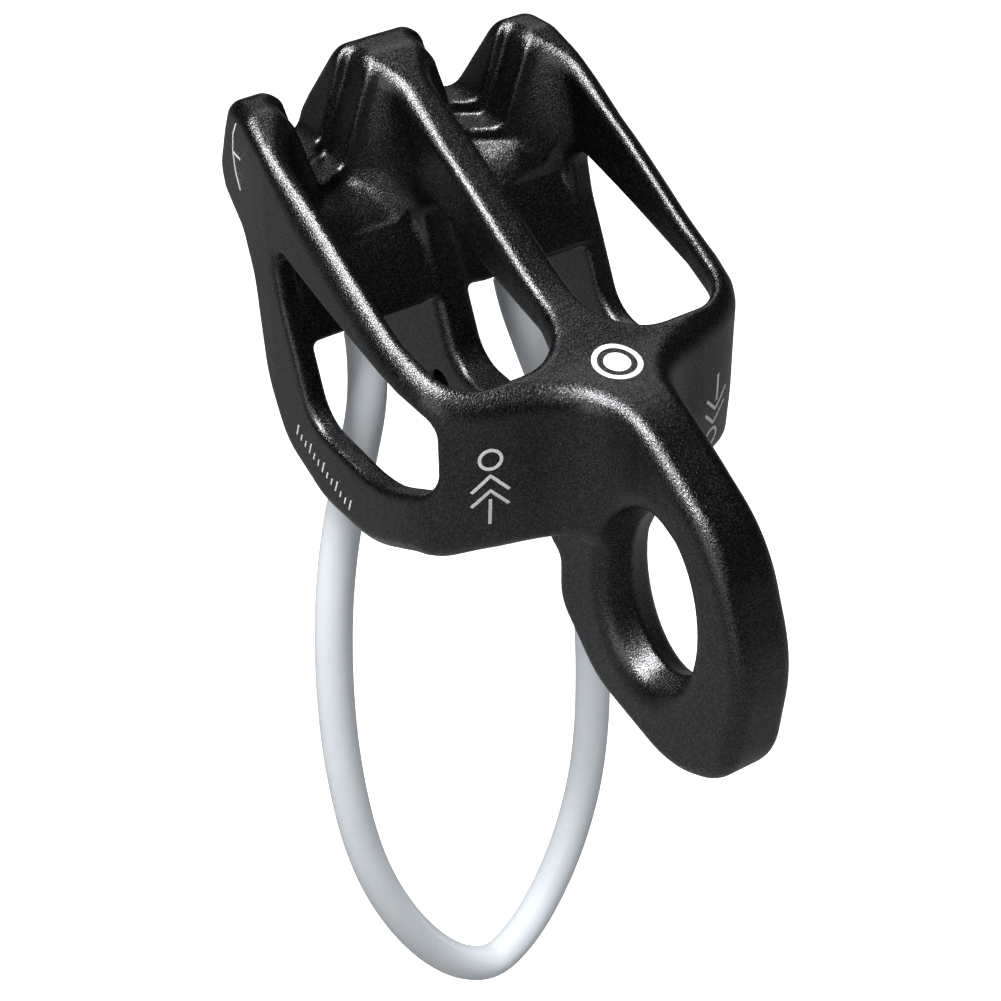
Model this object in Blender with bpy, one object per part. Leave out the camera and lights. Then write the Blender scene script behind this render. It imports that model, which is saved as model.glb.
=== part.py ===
"""Guide mode belay device: a forged body with two rope slots and an anchor eye, and a wire keeper loop.

X runs across the two slots, +Y points to the toothed nose and +Z up. The origin is the centre of the
anchor eye. Sizes are in millimetres and become metres when a mesh is made.
"""

import math

import bmesh
import bpy
import numpy as np
from mathutils import Vector

MM = 0.001

# Where the profile drawing's zero lies, seen from the eye's centre.
EYE_Y, EYE_Z = -30.0, 6.8

# Width and plate thicknesses
HALF_WIDTH = 20.0
SIDE_PLATE = 2.7
MIDDLE_PLATE = 3.6
EYE_PLATE = 7.0

# Where the eye's thicker plate tapers to the middle plate
EYE_TAPER_YS = (-14.5, -10.0)

# Rope slots
SLOT_REAR_Y = -16.2
SLOT_CORNER = 5.0
REAR_WALL_BOTTOM = 11.0
SHELL_REAR_Y = -24.2

# Friction V at the nose of each slot: three frames between two steps, each frame wider and lower than
# the one in front of it
V_CENTRE_X = 9.4
V_FLOOR_HALF = 1.6
V_LEAN_DEG = 21.0
V_STEP = 0.85
V_SINK = 1.5
V_FRONT_Z = 36.6
V_STEP_YS = (19.6, 15.7)
V_OPENING = 1.4
V_DIVE = 0.36
V_BEND = 3.0
V_EDGE = 0.8

# The middle plate's nose stands out past the side plates' noses.
NOSE_AHEAD = 2.3
NOSE_RISE = 1.4
NOSE_INNER_X, NOSE_OUTER_X = 7.5, 12.5

# Front wall between the plates: its rear face leans from the lower edge to the upper one.
WALL_REAR_Y, WALL_BOTTOM_Z = 7.4, 22.0
WALL_TOP_Y, WALL_TOP_Z = 12.9, 29.8

# Side plates' profile, as corners (y, z, corner radius): the top from nose to rear, and the nose down to
# the belly
TOP_LINE = [(17.4, 44.9, 3), (13.0, 42.9, 12), (2.4, 37.6, 30), (-8.0, 31.9, 30), (-18.0, 28.6, 16)]
NOSE_LINE = [
    (21.8, 45.1, 2.5), (25.2, 36.2, 3.2), (24.2, 33.5, 1.5), (19.8, 30.8, 3), (17.5, 26.5, 9),
    (15.7, 16.0, 9), (11.8, 9.0, 7), (4.6, 5.4, 9),
]

# Anchor eye
EYE_HOLE_Y = 13.0
EYE_HOLE_Z = 19.0
EYE_RIM = 2.5

# Release hole through the nose, for a thin cord or a small carabiner
RELEASE_HOLE = 3.6
RELEASE_Y, RELEASE_Z = 8.4, 11.2

# Edge rounding
SHELL_RIM = 2.1
PLATE_RIM = 1.6
WINDOW_RIM = 0.8
FILLET = 1.4

# Keeper loop
SHEATH_D = 4.3
SHEATH_BORE = 2.1
CORE_D = 1.5
CLEARANCE = 0.3
SOCKET_CLEARANCE = 0.45
KEEPER_X = 9.4
KEEPER_Y = 13.0
KEEPER_Z = 24.2
KEEPER_SWING_DEG = 20.0
EXIT_LEAN_DEG = 16.0
SWAGE_D = 3.8
BARE_CORE = 4.8

# The loop's centre line from one swage to its lowest point
LOOP = [
    (9.5, 12.1, 21.0), (9.8, 10.8, 16.5), (10.9, 9.5, 11.3), (12.8, 8.9, 5.0), (14.8, 8.8, -2.0),
    (16.4, 8.3, -9.5),
    (17.4, 7.7, -17.5), (17.9, 6.9, -26.5), (17.8, 5.9, -35.5), (16.9, 4.7, -45.0), (15.1, 3.6, -53.0),
    (12.2, 2.7, -60.4), (8.5, 2.1, -66.8), (4.4, 1.7, -71.4), (0.0, 1.6, -73.6),
]
LOOP_POINTS = 62
SHEATH_SIDES = 12
CORE_SIDES = 8

# Mesh density
CELL = 0.5
BODY_TRIANGLES = 10000


def corner_arcs(points):
    """A closed outline through corners given as (a, b, radius), each corner replaced by an arc."""
    corners = [Vector(p[:2]) for p in points]
    outline = []
    for i, (a, b, radius) in enumerate(points):
        here = corners[i]
        back = (corners[i - 1] - here)
        ahead = (corners[(i + 1) % len(points)] - here)
        turn = back.angle(ahead)
        if radius <= 0 or turn > math.radians(176):
            outline.append(here)
            continue
        reach = min(radius / math.tan(turn / 2), 0.49 * back.length, 0.49 * ahead.length)
        start, end = here + back.normalized() * reach, here + ahead.normalized() * reach
        steps = max(2, int(math.degrees(math.pi - turn) / 9))
        centre = here + (back.normalized() + ahead.normalized()).normalized() * (reach / math.cos(turn / 2))
        first, last = start - centre, end - centre
        sweep = first.angle(last)
        side = 1 if first.x * last.y - first.y * last.x > 0 else -1
        for k in range(steps + 1):
            t = side * sweep * k / steps
            c, s = math.cos(t), math.sin(t)
            outline.append(centre + Vector((c * first.x - s * first.y, s * first.x + c * first.y)))
    return np.array([tuple(p) for p in outline])


def outline_distance(outline, us, vs):
    """Signed distance to a closed outline on the grid us by vs, negative inside."""
    gu, gv = np.meshgrid(us, vs, indexing="ij")
    best = np.full(gu.shape, 1e9)
    inside = np.zeros(gu.shape, bool)
    for (u0, v0), (u1, v1) in zip(outline, np.roll(outline, -1, 0)):
        du, dv = u1 - u0, v1 - v0
        length2 = du * du + dv * dv
        if length2 < 1e-12:
            continue
        t = np.clip(((gu - u0) * du + (gv - v0) * dv) / length2, 0, 1)
        best = np.minimum(best, (gu - u0 - t * du) ** 2 + (gv - v0 - t * dv) ** 2)
        if v0 != v1:
            crossing = (v0 > gv) != (v1 > gv)
            inside ^= crossing & (gu < u0 + (gv - v0) / (v1 - v0) * du)
    return np.where(inside, -1, 1) * np.sqrt(best)


def round_common(a, b, radius):
    """What two solids share, with the edge between them rounded."""
    both = np.sqrt(np.maximum(a + radius, 0) ** 2 + np.maximum(b + radius, 0) ** 2)
    return np.minimum(-radius, np.maximum(a, b)) + both


def round_join(a, b, radius):
    """Two solids joined, with a fillet in the corner between them."""
    both = np.sqrt(np.maximum(radius - a, 0) ** 2 + np.maximum(radius - b, 0) ** 2)
    return np.maximum(radius, np.minimum(a, b)) - both


def smooth_through(at, places, values):
    """A smooth curve through the values at rising places, read at the places at."""
    slopes = np.gradient(values, places)
    k = np.clip(np.searchsorted(places, at) - 1, 0, len(places) - 2)
    run = places[k + 1] - places[k]
    t = np.clip((at - places[k]) / run, 0, 1)
    start = values[k] * (1 + 2 * t) + slopes[k] * run * t
    end = values[k + 1] * (3 - 2 * t) - slopes[k + 1] * run * (1 - t)
    return start * (1 - t) ** 2 + end * t ** 2


def side_x(y):
    """Half width of the body at y: widest amidships, drawn in at the nose and wrapped in at the rear."""
    ys = (-27.0, -24.6, -23.2, -22.3, -21.5, -20.6, -19.4, -17.6, -15.0, -11.0, -6.0, 9.0, 13.0, 19.0, 27.0)
    wide = (3.5, 3.65, 4.4, 6.1, 8.8, 12.6, 15.6, 17.8, 19.1, 19.8, 20.0, 20.0, 19.8, 19.1, 18.0)
    scale = HALF_WIDTH / 20.0
    return smooth_through(y, np.array(ys), np.array(wide) * scale)


def plan_outline():
    """The outline seen from above: nose, sides and the rear that narrows into the eye's plate."""
    ys = np.concatenate([np.arange(34.0, -14.0, -3.0), np.arange(-14.0, -27.0, -0.7), [-27.0, -60.0]])
    right = [(side_x(y), y) for y in ys]
    return np.array(right + [(-x, y) for x, y in reversed(right)])


def slot_outline():
    """One rope slot seen from above, running out past the nose."""
    inner = MIDDLE_PLATE / 2
    ys = np.arange(SLOT_REAR_Y + SLOT_CORNER + 1.0, 40.0, 2.5)
    outer = [(side_x(y) - SIDE_PLATE, y, 0) for y in ys]
    rear_x = side_x(SLOT_REAR_Y + 1.5) - SIDE_PLATE
    rear = [(inner, SLOT_REAR_Y, SLOT_CORNER * 0.8), (rear_x, SLOT_REAR_Y, SLOT_CORNER)]
    return corner_arcs([(inner, 40.0, 0)] + rear + outer)


def side_outline():
    """The side plates and rear wall seen from the side. The plan outline trims its rear end."""
    belly = [(-5.0, 5.2, 12), (-12.0, 8.4, 14), (-18.0, REAR_WALL_BOTTOM, 10),
             (SHELL_REAR_Y, REAR_WALL_BOTTOM + 1, 1)]
    return corner_arcs(NOSE_LINE + belly + [(SHELL_REAR_Y, 28.1, 0)] + TOP_LINE[::-1])


def middle_outline():
    """The middle plate and the anchor eye's ring seen from the side."""
    belly = [(-8.0, 4.9, 8), (-15.1, 3.7, 1.2), (-15.4, -1.6, 5), (-21.5, -8.2, 8), (-34.5, -11.9, 11)]
    ring = [(-44.3, -7.6, 10), (-45.9, 8.5, 17), (-38.8, 22.6, 13), (-25.0, 28.3, 14)]
    return corner_arcs(NOSE_LINE + belly + ring + TOP_LINE[::-1])


def window_outline():
    """The rounded triangle cut through all three plates."""
    return corner_arcs([
        (11.9, 33.9, 2.2), (-15.3, 26.3, 2.6), (-15.4, 17.6, 4), (-7.0, 13.9, 14), (5.3, 15.0, 4.5),
        (10.6, 27.0, 12),
    ])


def nose_share(ax, y, z):
    """How far the nose is drawn ahead at a point, from 1 at the middle plate to 0 at the side plates."""
    across = np.clip((NOSE_OUTER_X - ax) / (NOSE_OUTER_X - NOSE_INNER_X), 0, 1)
    return across * across * (3 - 2 * across) * np.clip(y / 16, 0, 1) * np.clip((z - 27) / 8, 0, 1)


def friction_v(ax, y, z):
    """The toothed V of one slot."""
    lean = math.radians(V_LEAN_DEG)
    across = np.abs(ax - V_CENTRE_X)
    cut = None
    for k, step_y in enumerate((99.0,) + V_STEP_YS):
        past = np.maximum(step_y - y, 0) if k == 2 else 0
        floor = V_FRONT_Z - V_SINK * k - V_DIVE * np.minimum(past, V_BEND) ** 2 - np.maximum(past - V_BEND, 0)
        half = V_FLOOR_HALF + V_STEP * k + V_OPENING * past
        wall = (across - half) * math.cos(lean) - (z - V_FRONT_Z) * math.sin(lean)
        frame = np.maximum(round_common(wall, floor - z, V_EDGE), y - step_y)
        cut = frame if cut is None else np.minimum(cut, frame)
    return cut


def wall_outline():
    """The front wall seen from the side, running up and forward past the nose that trims it."""
    return corner_arcs([
        (WALL_REAR_Y, WALL_BOTTOM_Z, 0.8), (WALL_TOP_Y, WALL_TOP_Z, 0.5), (WALL_TOP_Y - 3, 60.0, 0),
        (40.0, 60.0, 0), (40.0, WALL_BOTTOM_Z, 0),
    ])


def seen_from_side(outline, xs, ys, zs):
    """Signed distance to a profile whose nose is drawn ahead between the slots."""
    flat_ys = np.arange(ys[0] - 4, ys[-1] + 4, CELL / 2)
    flat_zs = np.arange(zs[0] - 4, zs[-1] + 4, CELL / 2)
    flat = outline_distance(outline, flat_ys, flat_zs)
    x, y, z = np.meshgrid(np.abs(xs), ys, zs, indexing="ij")
    share = nose_share(x, y, z)
    row = (y - NOSE_AHEAD * share - flat_ys[0]) / (CELL / 2)
    column = (z - NOSE_RISE * share - flat_zs[0]) / (CELL / 2)
    i, j = row.astype(int), column.astype(int)
    u, v = row - i, column - j
    return ((flat[i, j] * (1 - u) + flat[i + 1, j] * u) * (1 - v)
            + (flat[i, j + 1] * (1 - u) + flat[i + 1, j + 1] * u) * v)


def body_field(xs, ys, zs):
    """Signed distance, near enough, to the body's surface on a grid, negative in metal."""
    x, y, z = xs[:, None, None], ys[None, :, None], zs[None, None, :]
    ax = np.abs(x)
    side = seen_from_side(side_outline(), xs, ys, zs)
    middle = seen_from_side(middle_outline(), xs, ys, zs)
    window = outline_distance(window_outline(), ys, zs)[None]
    plan = outline_distance(plan_outline(), xs, ys)[:, :, None]
    slot = outline_distance(slot_outline(), np.abs(xs), ys)[:, :, None]
    shell = round_common(side, plan, SHELL_RIM)
    block = outline_distance(wall_outline(), ys, zs)[None]
    share = nose_share(ax, y, z)
    block = round_common(block, -friction_v(ax, y - NOSE_AHEAD * share, z), 0.25)
    blend = 0.6 + 2.0 * np.clip((z - 31) / 4, 0, 1)
    edge = 0.9 + 1.1 * np.clip((z - 41) / 4, 0, 1) * np.clip((23 - y) / 4, 0, 1)
    shell = round_common(shell, round_join(-slot, block, blend), edge)
    half = np.interp(y, EYE_TAPER_YS, (EYE_PLATE / 2, MIDDLE_PLATE / 2))
    plate = round_common(middle, np.maximum(ax - half, plan), PLATE_RIM)
    # The corner under the rear wall is filleted, and the faces that the two share are not.
    fillet = 0.02 + FILLET * np.clip((18 - z) / 5, 0, 1) * np.clip((SLOT_REAR_Y + 3.2 - y) / 3, 0, 1)
    field = round_join(shell, plate, fillet)
    field = round_common(field, -window, WINDOW_RIM)
    hole = (np.hypot((y - EYE_Y) / EYE_HOLE_Y * 2, (z - EYE_Z) / EYE_HOLE_Z * 2) - 1) * EYE_HOLE_Y / 2
    field = round_common(field, -hole, EYE_RIM)
    release = np.maximum(np.hypot(y - RELEASE_Y, z - RELEASE_Z) - RELEASE_HOLE / 2, ax - 6)
    field = round_common(field, -release, 0.4)
    return np.maximum(field, -socket_field(ax, y, z))


def socket_field(ax, y, z):
    """One keeper socket: a round seat for the swage and a mouth wide enough for the cable to swing in."""
    below = KEEPER_Z - z
    seat = np.sqrt((ax - KEEPER_X) ** 2 + (y - KEEPER_Y) ** 2 + below ** 2) - SWAGE_D / 2 - SOCKET_CLEARANCE
    lean = below * math.tan(math.radians(EXIT_LEAN_DEG))
    flare = CORE_D / 2 + SOCKET_CLEARANCE
    flare = flare + np.maximum(below, 0) * math.tan(math.radians(KEEPER_SWING_DEG + 5))
    mouth = np.maximum(np.hypot(ax - KEEPER_X, y - KEEPER_Y + lean) - flare, np.maximum(-below, below - 6))
    return round_join(seat, mouth, 0.7)


def surface_net(field, xs, ys, zs):
    """Points and outward quads of the field's zero surface: one point in each grid cell that it crosses."""
    solid = field < 0
    shape = tuple(n - 1 for n in field.shape)
    count = np.zeros(shape, np.uint8)
    for i, j, k in np.ndindex(2, 2, 2):
        count += solid[i:i + shape[0], j:j + shape[1], k:k + shape[2]]
    cells = np.argwhere((count > 0) & (count < 8))
    index = np.full(shape, -1)
    index[tuple(cells.T)] = np.arange(len(cells))
    total, crossings = np.zeros((len(cells), 3)), np.zeros(len(cells))
    axes = (xs, ys, zs)
    for axis in range(3):
        for a, b in np.ndindex(2, 2):
            start = cells.copy()
            start[:, (axis + 1) % 3] += a
            start[:, (axis + 2) % 3] += b
            end = start.copy()
            end[:, axis] += 1
            f0, f1 = field[tuple(start.T)], field[tuple(end.T)]
            hit = (f0 < 0) != (f1 < 0)
            share = np.where(hit, f0 / np.where(hit, f0 - f1, 1), 0)
            point = np.stack([axes[d][start[:, d]] for d in range(3)], 1)
            point[:, axis] += share * (axes[axis][end[:, axis]] - axes[axis][start[:, axis]])
            total += point * hit[:, None]
            crossings += hit
    points = total / crossings[:, None]
    quads = []
    for axis in range(3):
        u, v = (axis + 1) % 3, (axis + 2) % 3
        low, high = [slice(None)] * 3, [slice(None)] * 3
        low[axis], high[axis] = slice(None, -1), slice(1, None)
        edges = np.argwhere(solid[tuple(low)] != solid[tuple(high)])
        step_u, step_v = np.eye(3, dtype=int)[u], np.eye(3, dtype=int)[v]
        ring = [edges - step_u - step_v, edges - step_v, edges, edges - step_u]
        quad = np.stack([index[tuple(r.T)] for r in ring], 1)
        leaving = solid[tuple(low)][tuple(edges.T)]
        quads.append(np.where(leaving[:, None], quad, quad[:, ::-1]))
    return points, np.concatenate(quads)


def finish(name, colour, roughness, metallic):
    """A plain material of the piece's own colour."""
    material = bpy.data.materials.new(name)
    material.use_nodes = True
    shader = material.node_tree.nodes["Principled BSDF"]
    shader.inputs["Base Color"].default_value = (*colour, 1)
    shader.inputs["Roughness"].default_value = roughness
    shader.inputs["Metallic"].default_value = metallic
    return material


def to_part(points):
    """Drawing millimetres as part metres, measured from the eye's centre."""
    return (np.asarray(points, float) - (0, EYE_Y, EYE_Z)) * MM


def add_mesh(name, points, faces, material, pivot=(0, EYE_Y, EYE_Z)):
    """A named object from points in drawing millimetres, with its origin at the pivot."""
    mesh = bpy.data.meshes.new(name)
    origin = to_part(pivot)
    mesh.from_pydata((to_part(points) - origin).tolist(), [], [tuple(f) for f in faces])
    mesh.materials.append(material)
    mesh.update()
    piece = bpy.data.objects.new(name, mesh)
    piece.location = origin
    bpy.context.scene.collection.objects.link(piece)
    return piece


def make_body():
    """The forged body, drawn as a distance field and thinned to flat facets where it is flat."""
    half = HALF_WIDTH + 1.5
    xs = np.arange(-math.ceil(half / CELL), math.ceil(half / CELL)) * CELL + CELL / 2
    ys = np.arange(-47.0, 30.0, CELL)
    zs = np.arange(-13.5, 51.0, CELL)
    points, quads = surface_net(body_field(xs, ys, zs), xs, ys, zs)
    alloy = finish("anodised_alloy", (0.012, 0.012, 0.013), 0.5, 0.0)
    body = add_mesh("body", points, quads.tolist(), alloy)
    thin = body.modifiers.new("thin", "DECIMATE")
    thin.ratio = BODY_TRIANGLES / (2 * len(quads))
    return body


def loop_route():
    """The keeper's centre line from swage to swage, at even steps along a smooth curve."""
    first = (KEEPER_X, KEEPER_Y, KEEPER_Z)
    half = np.array([first] + LOOP)
    route = np.concatenate([half, half[-2::-1] * (-1, 1, 1)])
    padded = np.concatenate([[2 * route[0] - route[1]], route, [2 * route[-1] - route[-2]]])
    fine = []
    for a, b, c, d in zip(padded, padded[1:], padded[2:], padded[3:]):
        for t in np.linspace(0, 1, 12, endpoint=False):
            fine.append(0.5 * (2 * b + (c - a) * t + (2 * a - 5 * b + 4 * c - d) * t ** 2
                               + (3 * b - a - 3 * c + d) * t ** 3))
    fine = np.array(fine + [route[-1]])
    run = np.concatenate([[0], np.cumsum(np.linalg.norm(np.diff(fine, axis=0), axis=1))])
    return fine, run


def along(fine, run, distances):
    """Points at the given distances along the centre line."""
    return np.stack([np.interp(distances, run, fine[:, k]) for k in range(3)], 1)


def sweep(path, radius, sides, inner=0.0):
    """A round bar along the path, or a tube when it has an inner radius."""
    points, rings = [], []
    lie = Vector((0, 1, 0))
    for i, here in enumerate(path):
        tangent = Vector(path[min(i + 1, len(path) - 1)] - path[max(i - 1, 0)]).normalized()
        lie = (lie - tangent * lie.dot(tangent)).normalized()
        side = tangent.cross(lie)
        ring = []
        for r in (radius, inner) if inner else (radius,):
            for k in range(sides):
                turn = 2 * math.pi * k / sides
                ring.append(len(points))
                points.append(Vector(here) + (lie * math.cos(turn) + side * math.sin(turn)) * r)
        rings.append(ring)
    faces = []
    for a, b in zip(rings, rings[1:]):
        for k in range(sides):
            m = (k + 1) % sides
            faces.append((a[k], a[m], b[m], b[k]))
            if inner:
                faces.append((a[sides + m], a[sides + k], b[sides + k], b[sides + m]))
    for ring, turned in ((rings[0], True), (rings[-1], False)):
        if inner:
            for k in range(sides):
                m = (k + 1) % sides
                face = (ring[k], ring[m], ring[sides + m], ring[sides + k])
                faces.append(face[::-1] if turned else face)
        else:
            faces.append(tuple(ring[::-1] if turned else ring))
    return points, faces


def make_swage(name, centre, toward, material):
    """A ball swaged on the core's end, bored for the core from the side that it leaves by."""
    built = bmesh.new()
    bmesh.ops.create_uvsphere(built, u_segments=16, v_segments=10, radius=SWAGE_D / 2)
    points = [v.co.copy() for v in built.verts]
    faces = [tuple(v.index for v in f.verts) for f in built.faces]
    built.free()
    turn = Vector((0, 0, -1)).rotation_difference(toward)
    placed = [Vector(centre) + turn @ p for p in points]
    swage = add_mesh(name, placed, faces, material, pivot=centre)
    bore = [Vector(centre) + toward * d for d in (-0.6, SWAGE_D)]
    cutter = add_mesh(name + "_bore", *sweep(np.array(bore), CORE_D / 2 + CLEARANCE * 0.8, 12), material)
    cutter.hide_render = True
    cutter.display_type = "WIRE"
    cut = swage.modifiers.new("bore", "BOOLEAN")
    cut.operation = "DIFFERENCE"
    cut.solver = "EXACT"
    cut.object = cutter
    return swage


def make_keeper():
    """The keeper: a steel core between two swages, and the plastic sheath over it."""
    fine, run = loop_route()
    steel = finish("core_steel", (0.5, 0.51, 0.52), 0.35, 1.0)
    plastic = finish("sheath_plastic", (0.68, 0.74, 0.8), 0.25, 0.0)
    pivot = (0, KEEPER_Y, KEEPER_Z)
    core = along(fine, run, np.linspace(0, run[-1], LOOP_POINTS))
    add_mesh("keeper_core", *sweep(core, CORE_D / 2, CORE_SIDES), steel, pivot)
    sheath = along(fine, run, np.linspace(BARE_CORE, run[-1] - BARE_CORE, LOOP_POINTS))
    add_mesh("keeper_sheath", *sweep(sheath, SHEATH_D / 2, SHEATH_SIDES, SHEATH_BORE / 2), plastic, pivot)
    for name, end, near in (("swage_right", fine[0], fine[6]), ("swage_left", fine[-1], fine[-7])):
        make_swage(name, end, Vector(near - end).normalized(), steel)


def main():
    for old in list(bpy.data.objects):
        bpy.data.objects.remove(old, do_unlink=True)
    make_body()
    make_keeper()


main()
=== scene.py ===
"""Looks of a guide mode belay device: a bead-blasted black alloy body and a plastic-sheathed keeper cable.

Sizes are in millimetres in the drawing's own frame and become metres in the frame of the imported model,
whose origin is the centre of the anchor eye.
"""

import logging
import math
from dataclasses import dataclass, field
from enum import Enum
from typing import Iterable, Sequence

import bpy
import numpy as np
from mathutils import Matrix, Vector
from mathutils.bvhtree import BVHTree


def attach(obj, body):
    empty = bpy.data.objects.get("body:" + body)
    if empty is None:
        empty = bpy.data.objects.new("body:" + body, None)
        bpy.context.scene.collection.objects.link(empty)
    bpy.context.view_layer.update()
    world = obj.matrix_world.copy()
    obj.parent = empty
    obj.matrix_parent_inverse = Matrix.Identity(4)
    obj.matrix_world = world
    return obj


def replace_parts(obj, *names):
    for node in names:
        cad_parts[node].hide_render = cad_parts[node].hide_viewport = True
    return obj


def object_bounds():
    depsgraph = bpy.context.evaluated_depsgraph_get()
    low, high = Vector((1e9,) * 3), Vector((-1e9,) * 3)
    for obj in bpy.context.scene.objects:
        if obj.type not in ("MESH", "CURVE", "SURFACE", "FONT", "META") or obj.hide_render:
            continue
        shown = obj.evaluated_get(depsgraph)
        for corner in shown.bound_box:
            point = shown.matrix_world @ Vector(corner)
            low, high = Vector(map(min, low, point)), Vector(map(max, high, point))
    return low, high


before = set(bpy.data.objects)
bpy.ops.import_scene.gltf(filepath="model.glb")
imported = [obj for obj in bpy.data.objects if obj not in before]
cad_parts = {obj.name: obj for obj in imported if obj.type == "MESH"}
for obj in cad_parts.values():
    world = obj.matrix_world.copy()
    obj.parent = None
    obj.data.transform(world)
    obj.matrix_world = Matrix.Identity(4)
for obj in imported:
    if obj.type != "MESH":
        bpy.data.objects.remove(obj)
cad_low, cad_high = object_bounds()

log = logging.getLogger("belay_device")

MM = 0.001
# The eye's centre in the drawing
EYE_Y, EYE_Z = -30.0, 6.8
# Millimetres between the points of a lasered stroke, and the fillet of a corner left sharp
CLOSE = 0.25
SHARP = 0.02

Outline = Sequence[tuple[float, float, float]]
Line = Sequence[tuple[float, float]]
NodeSetup = tuple[bpy.types.Material, bpy.types.NodeTree, bpy.types.Node, bpy.types.Node]


class Part(Enum):
    """The two bodies that the pieces ride on."""

    BODY = "body"
    KEEPER = "keeper"


def linear(colour: str) -> tuple[float, float, float, float]:
    """Turns an sRGB hex colour into the linear colour that a shader works in.

    Args:
        colour: the colour as "#rrggbb".

    Returns:
        Red, green, blue and an alpha of 1.
    """
    shares = [int(colour[i:i + 2], 16) / 255 for i in (1, 3, 5)]
    red, green, blue = (c / 12.92 if c <= 0.04045 else ((c + 0.055) / 1.055) ** 2.4 for c in shares)
    return red, green, blue, 1.0


def add_node(tree: bpy.types.NodeTree, kind: str, settings: dict | None = None,
             links: dict | None = None, **fields) -> bpy.types.Node:
    """Adds one node to a material or world.

    Args:
        tree: the node tree that it joins.
        kind: the node's type, without "ShaderNode".
        settings: socket name or number to its constant value.
        links: socket name or number to the (node, output) that feeds it.
        fields: the node's own options, such as operation.

    Returns:
        The new node.
    """
    node = tree.nodes.new("ShaderNode" + kind)
    for name, value in fields.items():
        setattr(node, name, value)
    for socket, value in (settings or {}).items():
        node.inputs[socket].default_value = value
    for socket, (source, output) in (links or {}).items():
        tree.links.new(source.outputs[output], node.inputs[socket])
    return node


def new_material(name: str) -> NodeSetup:
    """Starts a node material.

    Args:
        name: the finish's name.

    Returns:
        The material, its tree, its Principled shader and its texture coordinates.
    """
    material = bpy.data.materials.new(name)
    material.use_nodes = True
    tree = material.node_tree
    return material, tree, tree.nodes["Principled BSDF"], add_node(tree, "TexCoord")


def per_metre(size_mm: float) -> float:
    """A texture's scale for features of a real size, with coordinates in metres."""
    return 1.0 / (size_mm * MM)


@dataclass(frozen=True)
class BlastedAnodising:
    """Forged 7000-series alloy, bead-blasted and dyed black in a hard anodising bath.

    The dyed oxide lies thin over bare metal, so it reflects as a very dark metal. The beads leave a fine
    grain that breaks each highlight into sparkles.
    """

    face: str = "#3e3e3f"
    spark: str = "#8e8e90"
    roughness: float = 0.24
    grain_mm: float = 0.19
    grain_depth_mm: float = 0.062
    dimple_mm: float = 0.9
    patch_mm: float = 14.0

    def material(self) -> bpy.types.Material:
        """Builds the finish.

        Returns:
            The material.
        """
        material, tree, shader, place = new_material("black_blasted_anodised_alloy")
        shader.inputs["Metallic"].default_value = 1.0
        # Dye takes a little unevenly over the forging.
        patches = add_node(tree, "TexNoise", {"Scale": per_metre(self.patch_mm), "Detail": 3.0},
                           {"Vector": (place, "Object")})
        # Blasted grain, drawn a little coarser than the real 0.15 mm so that it shows.
        grain = add_node(tree, "TexNoise", {"Scale": per_metre(self.grain_mm), "Detail": 2.0,
                                            "Roughness": 0.62}, {"Vector": (place, "Object")})
        dimples = add_node(tree, "TexVoronoi", {"Scale": per_metre(self.dimple_mm), "Randomness": 1.0},
                           {"Vector": (place, "Object")}, feature="SMOOTH_F1")
        # Edges that handling has rubbed are a shade paler.
        edge = add_node(tree, "NewGeometry")
        rubbed = add_node(tree, "MapRange", {"From Min": 0.53, "From Max": 0.62, "To Min": 0.0,
                                             "To Max": 0.12}, {"Value": (edge, "Pointiness")})
        mottled = add_node(tree, "MapRange", {"From Min": 0.35, "From Max": 0.7, "To Min": 0.0,
                                              "To Max": 0.1}, {"Value": (patches, "Fac")})
        speckled = add_node(tree, "MapRange", {"From Min": 0.42, "From Max": 0.7, "To Min": 0.0,
                                               "To Max": 0.45}, {"Value": (grain, "Fac")})
        pale = add_node(tree, "Math", {}, {0: (rubbed, 0), 1: (mottled, 0)}, operation="ADD")
        paler = add_node(tree, "Math", {}, {0: (pale, 0), 1: (speckled, 0)}, operation="ADD",
                         use_clamp=True)
        tone = add_node(tree, "Mix", {6: linear(self.face), 7: linear(self.spark)}, {0: (paler, 0)},
                        data_type="RGBA")
        tree.links.new(tone.outputs[2], shader.inputs["Base Color"])
        gloss = add_node(tree, "MapRange", {"From Min": 0.25, "From Max": 0.75,
                                            "To Min": self.roughness - 0.07,
                                            "To Max": self.roughness + 0.1}, {"Value": (grain, "Fac")})
        tree.links.new(gloss.outputs[0], shader.inputs["Roughness"])
        coarse = add_node(tree, "Bump", {"Strength": 0.35, "Distance": self.grain_depth_mm * MM},
                          {"Height": (dimples, "Distance")})
        fine = add_node(tree, "Bump", {"Strength": 1.0, "Distance": self.grain_depth_mm * MM},
                        {"Height": (grain, "Fac"), "Normal": (coarse, "Normal")})
        tree.links.new(fine.outputs[0], shader.inputs["Normal"])
        return material


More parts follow.
